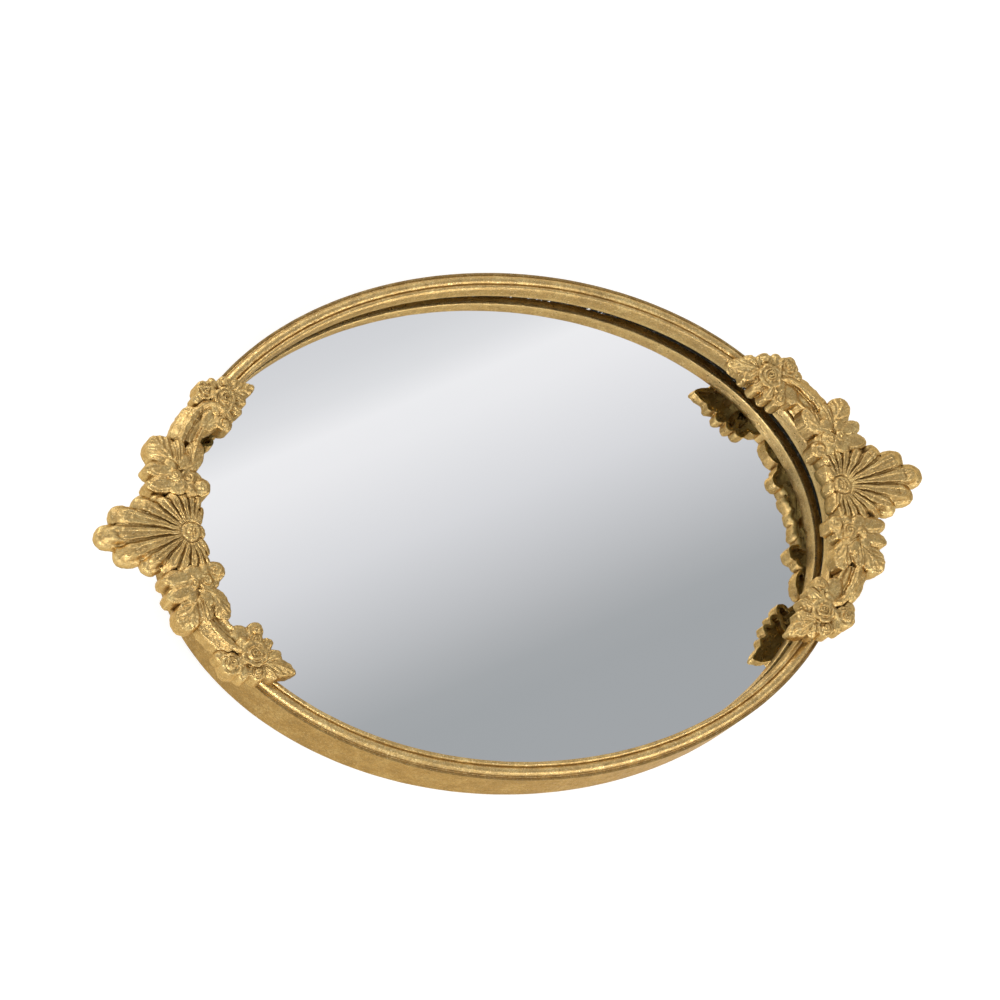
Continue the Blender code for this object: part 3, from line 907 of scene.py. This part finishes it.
def settled(points, kind, hand, place):
    """The piece moved to its own place. The left back cluster is also smaller and turned a little."""
    points = points.copy()
    if kind == "rose_cluster" and (hand, place) == ("left", "back"):
        turn = math.radians(9)
        x = 0.82 * (points[:, 0] - CLUSTER_TIP[0])
        y = 0.92 * (points[:, 1] - CLUSTER_TIP[1])
        points[:, 0] = CLUSTER_TIP[0] + 2 + x * math.cos(turn) - y * math.sin(turn)
        points[:, 1] = CLUSTER_TIP[1] - 1 + x * math.sin(turn) + y * math.cos(turn)
    points[:, :2] += SHIFTS[hand, place][kind]
    return points


def placed(points, faces, side, end):
    """A mirrored copy. side -1 is the left handle and end -1 is the front of the tray."""
    if side * end < 0:
        faces = [face[::-1] for face in faces]
    return points * np.array([side, end, 1.0]), faces


# Far-apart places in the noise, so that the offsets along the three axes have nothing in common
AXES_APART = (Vector((0.0, 0.0, 0.0)), Vector((37.1, 11.3, 5.7)), Vector((-17.9, 41.3, 23.1)))


def unevenness(points, scale):
    """A smooth random offset for each point, from -1 to 1 along each axis."""
    places = [Vector(point) * scale for point in points]
    return np.array([[noise.noise(place + apart) for apart in AXES_APART] for place in places])


def hand_worked(points):
    """Makes each casting differ from its fellows, broadly and finely, and less so in height."""
    offsets = 0.55 * unevenness(points, 0.2) + 0.26 * unevenness(points, 0.65)
    return points + offsets * np.array([1.0, 1.0, 0.6])


def new_casting(name, points, faces):
    new_piece(f"{name}_casting", hand_worked(points), faces, CAST_GOLD, [name])


def build_castings():
    castings = {
        "flower": cast(flower_parts()),
        "leaf_spray": cast(leaf_parts()),
        "scroll": cast(scroll_parts()),
        "rose_cluster": cast(cluster_parts()),
    }
    for hand, side in (("right", 1), ("left", -1)):
        new_casting(f"{hand}_shell", *placed(*build_shell(*SHELLS[hand]), side, 1))
        for place, end in (("back", 1), ("front", -1)):
            for kind, (points, faces) in castings.items():
                points = settled(points, kind, hand, place)
                new_casting(f"{hand}_{kind}_{place}", *placed(points, faces, side, end))


# ---- materials of the CAD nodes that stay ----


def dress_frame():
    """Gives each CAD node the look that belongs to the start of its name."""
    looks = (
        ("mirror_glass", MIRROR),
        ("backing_board", BOARD),
        ("base_felt", FELT),
        ("foot_pad", RUBBER),
        ("retaining_clip", ZINC),
        ("left_rivet", BRASS),
        ("right_rivet", BRASS),
        ("left_post", CAST_GOLD),
        ("right_post", CAST_GOLD),
    )
    for name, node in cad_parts.items():
        for start, look in looks:
            if name.startswith(start):
                for slot in node.material_slots:
                    slot.material = look


# ---- floor and light ----


def build_floor():
    """A white floor just below the pads that still takes a faint shadow."""
    bpy.ops.mesh.primitive_plane_add(size=12.0)
    floor = bpy.context.object
    floor.name = "floor"
    floor.location.z = -0.1 * MM
    look = bpy.data.materials.new("pale_floor")
    look.use_nodes = True
    shader = look.node_tree.nodes["Principled BSDF"]
    shader.inputs["Base Color"].default_value = (0.5, 0.5, 0.5, 1)
    shader.inputs["Emission Color"].default_value = (1.0, 1.0, 1.0, 1)
    shader.inputs["Emission Strength"].default_value = 0.66
    shader.inputs["Roughness"].default_value = 0.9
    shader.inputs["Specular IOR Level"].default_value = 0.1
    floor.data.materials.append(look)


# The studio's colours along one direction, at places from -1 to 1. The mirror shows the middle of them.
STUDIO_AXIS = Vector((0.297, -0.9415, 0.160))
STUDIO_COLOURS = (
    (-1.0, (0.66, 0.65, 0.63)),
    (-0.30, (0.80, 0.80, 0.80)),
    (-0.055, (0.70, 0.71, 0.735)),
    (-0.042, (0.76, 0.77, 0.79)),
    (-0.030, (0.955, 0.955, 0.97)),
    (0.0, (0.76, 0.765, 0.79)),
    (0.034, (0.45, 0.465, 0.48)),
    (0.042, (0.395, 0.415, 0.43)),
    (0.30, (0.43, 0.44, 0.46)),
    (0.75, (0.85, 0.84, 0.82)),
)
# Each lamp's name, its place and size (m), and its power (W)
LAMPS = (
    ("key", (-1.6, -1.3, 1.1), 0.6, 27.0),
    ("fill", (1.2, -1.5, 1.0), 0.9, 12.0),
    ("rim_light", (-0.6, 1.8, 1.2), 1.0, 16.0),
)


def build_studio():
    """A world that is brighter and darker in bands across one direction."""
    world = bpy.data.worlds.new("studio")
    bpy.context.scene.world = world
    world.use_nodes = True
    tree = world.node_tree
    direction = tree.nodes.new("ShaderNodeTexCoord").outputs["Generated"]
    along = tree.nodes.new("ShaderNodeVectorMath")
    along.operation = "DOT_PRODUCT"
    along.inputs[1].default_value = STUDIO_AXIS
    tree.links.new(direction, along.inputs[0])
    spread = tree.nodes.new("ShaderNodeMapRange")
    spread.inputs["From Min"].default_value = -1.0
    tree.links.new(along.outputs["Value"], spread.inputs["Value"])
    ramp = tree.nodes.new("ShaderNodeValToRGB")
    marks = ramp.color_ramp.elements
    while len(marks) < len(STUDIO_COLOURS):
        marks.new(0.5)
    for mark, (position, colour) in zip(marks, STUDIO_COLOURS):
        mark.position = (position + 1) / 2
        mark.color = (*colour, 1)
    tree.links.new(spread.outputs["Result"], ramp.inputs["Fac"])
    tree.links.new(ramp.outputs["Color"], tree.nodes["Background"].inputs["Color"])
    tree.nodes["Background"].inputs["Strength"].default_value = 1.0
    bpy.context.scene.view_settings.view_transform = "Standard"


def build_lamps():
    """Round area lamps, all aimed at the tray."""
    for name, spot, size, power in LAMPS:
        lamp = bpy.data.objects.new(name, bpy.data.lights.new(name, "AREA"))
        bpy.context.scene.collection.objects.link(lamp)
        lamp.data.shape = "DISK"
        lamp.data.size = size
        lamp.data.energy = power
        lamp.location = spot
        lamp.rotation_euler = (-Vector(spot)).to_track_quat("-Z", "Y").to_euler()


build_camera()
build_floor()
build_studio()
build_lamps()
build_band()
build_moulding()
build_adhesive()
build_castings()
dress_frame()
